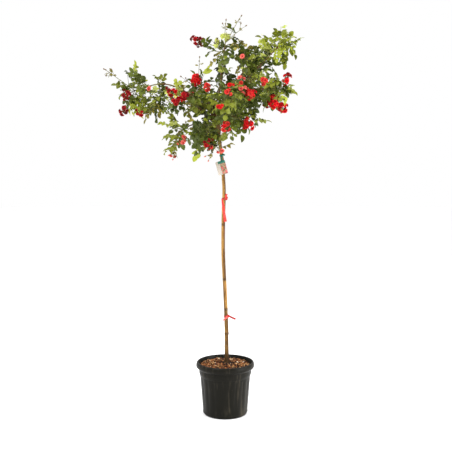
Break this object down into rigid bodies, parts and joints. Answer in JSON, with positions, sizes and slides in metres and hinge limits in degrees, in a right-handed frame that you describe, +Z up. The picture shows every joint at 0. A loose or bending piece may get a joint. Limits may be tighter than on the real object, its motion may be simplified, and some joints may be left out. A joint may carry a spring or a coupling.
{
  "type": "potted weeping rose standard",
  "caption": "Flowering rose grafted on a tall bare stem, its cascading canes carrying loose masses of leaves and double blooms, in a round plastic nursery pot.",
  "frame": {"origin": "centre of the pot's flat underside", "axes": "+Z up along the stem, -Y towards the viewer at the front, +X to the viewer's right"},
  "size_m": [1.0137, 0.8802, 2.0498],
  "materials": {
    "pot_plastic": "matte, scuffed, dusty charcoal",
    "bark_mulch": "rough shredded bark on potting mix",
    "bark": "matte brown bark, reddish on its sunny side",
    "foliage": "semi-matte leaves and soft petals",
    "tape": "coral tie tape, slightly glossy",
    "label": null
  },
  "bodies": {
    "root": {"bough_back_centre": "bark", "bough_back_left": "bark", "bough_back_right": "bark", "bough_back_upper": "bark", "bough_centre_front": "bark", "bough_centre_left": "bark", "bough_centre_right": "bark", "bough_far_back": "bark", "bough_left_inner": "bark", "bough_left_middle": "bark", "bough_left_outer": "bark", "bough_lower_left": "bark", "bough_lower_right": "bark", "bough_mid_upper": "bark", "bough_right": "bark", "bough_top_spray": "bark", "bough_upper_inner": "bark", "bough_upper_middle": "bark", "bough_upper_right": "bark", "foliage_back_centre": "foliage", "foliage_back_left": "foliage", "foliage_back_low": "foliage", "foliage_back_right": "foliage", "foliage_back_upper": "foliage", "foliage_centre_front": "foliage", "foliage_centre_left": "foliage", "foliage_centre_right": "foliage", "foliage_far_back": "foliage", "foliage_front_low": "foliage", "foliage_left_inner": "foliage", "foliage_left_middle": "foliage", "foliage_left_outer": "foliage", "foliage_lower_left": "foliage", "foliage_lower_right": "foliage", "foliage_mid_upper": "foliage", "foliage_neck": "foliage", "foliage_right": "foliage", "foliage_top_spray": "foliage", "foliage_upper_inner": "foliage", "foliage_upper_middle": "foliage", "foliage_upper_right": "foliage", "hang_tag": "label", "pot": "pot_plastic", "potting_mix": "bark_mulch", "tie_lower": "tape", "tie_upper": "tape", "trunk": "bark"}
  },
  "joints": []
}
